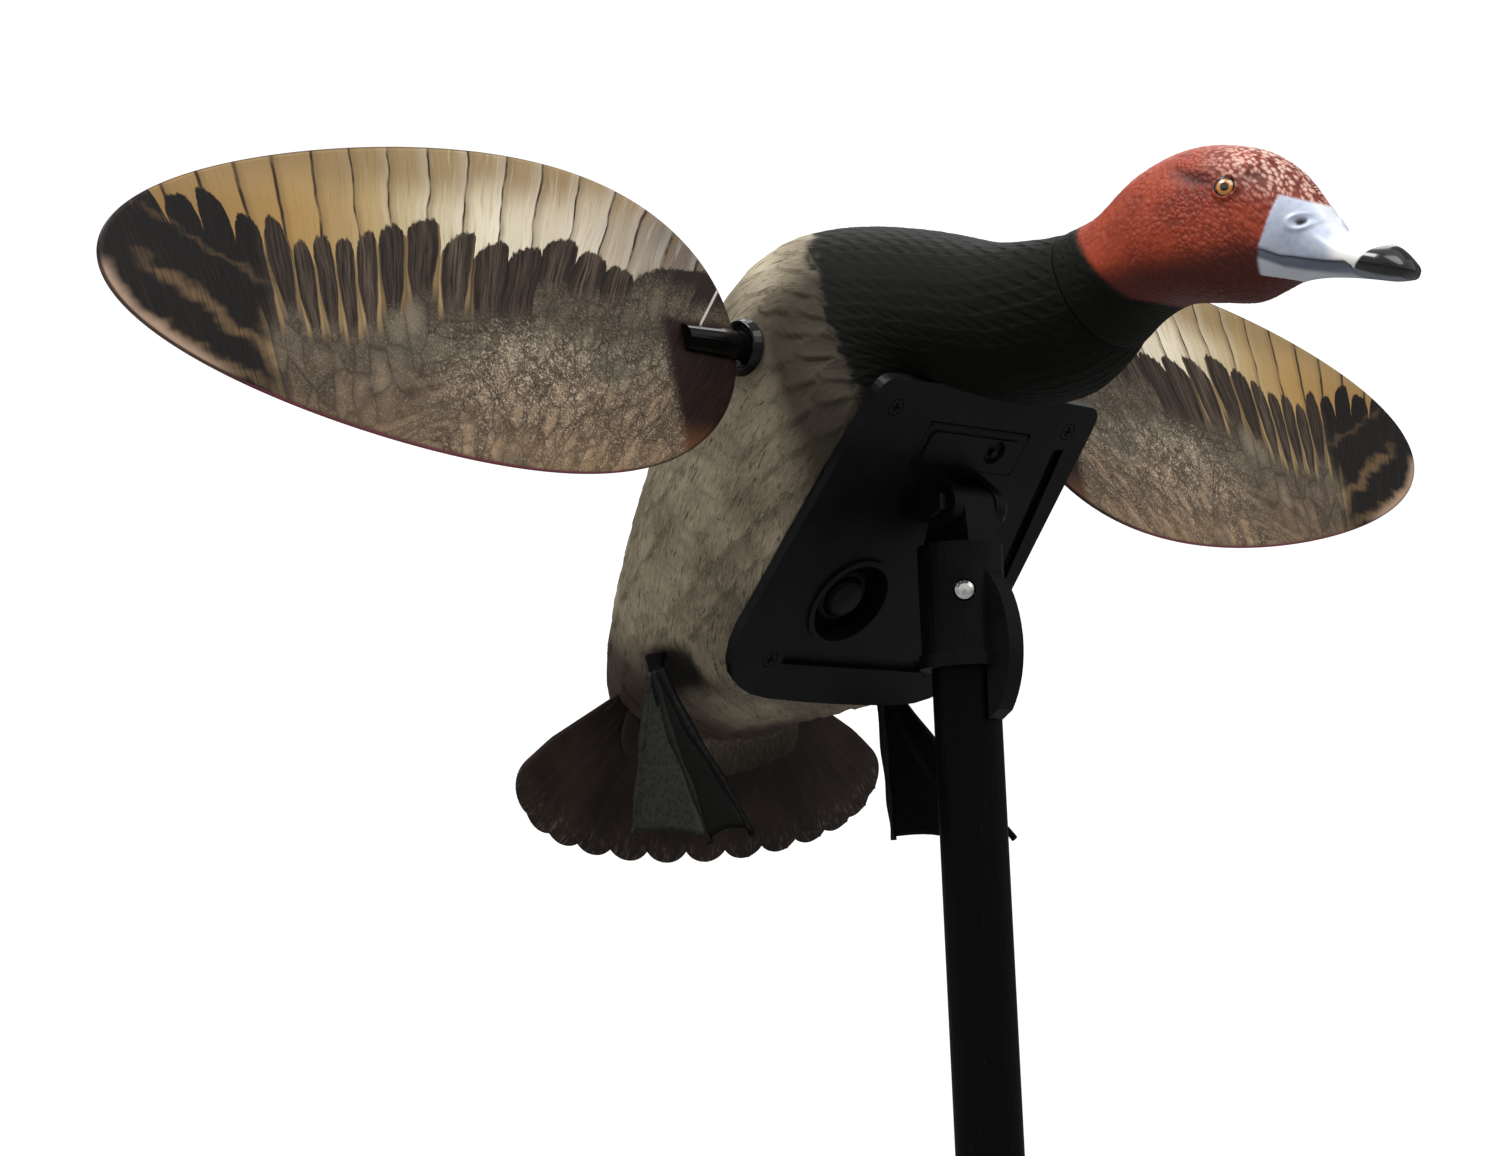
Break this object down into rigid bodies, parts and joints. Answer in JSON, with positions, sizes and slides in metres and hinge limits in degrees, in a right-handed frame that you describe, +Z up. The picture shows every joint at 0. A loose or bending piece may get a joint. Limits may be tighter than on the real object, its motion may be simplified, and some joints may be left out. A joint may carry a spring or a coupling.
{
  "type": "motion wing decoy",
  "caption": "Diving-duck decoy in a landing pose on a pole, with motor-spun printed wings, a tilting belly bracket, a power button and a charging hatch.",
  "frame": {"origin": "centre of the flat lower end of the pole section's spigot", "axes": "+Z up the pole, +X the way the bird heads, +Y to the bird's left"},
  "size_m": [0.3687, 0.71, 0.5953],
  "materials": {
    "shell": "painted feather relief, matt",
    "head_paint": "painted feather relief, satin",
    "eye": "amber bead, glossy",
    "tail": "painted, matt",
    "foot": "moulded, matt",
    "wing": "feather print under a satin film",
    "black_plastic": "satin moulding",
    "boot": "soft rubber",
    "steel": "zinc plated",
    "pole": "black powder coat",
    "cell": "shrink sleeve",
    "board": "solder mask",
    "red_wire": "insulation",
    "black_wire": "insulation"
  },
  "bodies": {
    "pole": {"pole_tube": "pole", "pole_spigot": "pole", "pole_socket": "black_plastic", "snap_spring": "steel"},
    "snap": {"snap_button": "steel"},
    "wings": {"drive_shaft": "steel", "wing_post_left": "black_plastic", "wing_post_right": "black_plastic", "wing_blade_left": "wing", "wing_blade_right": "wing", "wing_screw_left": "steel", "wing_screw_right": "steel"},
    "button": {"power_button": "boot"},
    "hatch": {"charge_hatch": "black_plastic"},
    "bird": {"body_shell": "shell", "head_and_bill": "head_paint", "tail_fan": "tail", "eye_left": "eye", "eye_right": "eye", "foot_left": "foot", "foot_right": "foot", "axle_bush_left": "black_plastic", "axle_bush_right": "black_plastic", "base_plate": "black_plastic", "plate_screw_1": "steel", "plate_screw_2": "steel", "plate_screw_3": "steel", "plate_screw_4": "steel", "hatch_pin": "steel", "charge_socket": "black_plastic", "button_seal": "boot", "power_switch": "black_plastic", "motor": "steel", "motor_frame": "black_plastic", "frame_screw_1": "steel", "frame_screw_2": "steel", "battery_tray": "black_plastic", "battery_pack": "cell", "control_board": "board", "battery_lead_red": "red_wire", "battery_lead_black": "black_wire", "motor_lead": "red_wire", "pivot_bolt": "steel", "pivot_nut": "steel"}
  },
  "joints": [
    {"name": "body_tilt", "type": "hinge", "parent": "pole", "child": "bird", "pos_m": [0.003, 0, 0.4765], "axis": [0, 1, 0], "range_deg": [-15, 49]},
    {"name": "wing_spin", "type": "hinge", "parent": "bird", "child": "wings", "pos_m": [-0.038, 0, 0.536], "axis": [0, 1, 0], "continuous": true},
    {"name": "power_press", "type": "slide", "parent": "bird", "child": "button", "axis": [-0.7547, 0, 0.6561], "range_m": [0, 0.003]},
    {"name": "hatch_swing", "type": "hinge", "parent": "bird", "child": "hatch", "pos_m": [0.01076, 0.0015, 0.50459], "axis": [0, -1, 0], "range_deg": [0, 95]},
    {"name": "snap_press", "type": "slide", "parent": "pole", "child": "snap", "axis": [-0.7071, 0.7071, 0], "range_m": [0, 0.0045], "deforming": ["snap_spring"]}
  ]
}
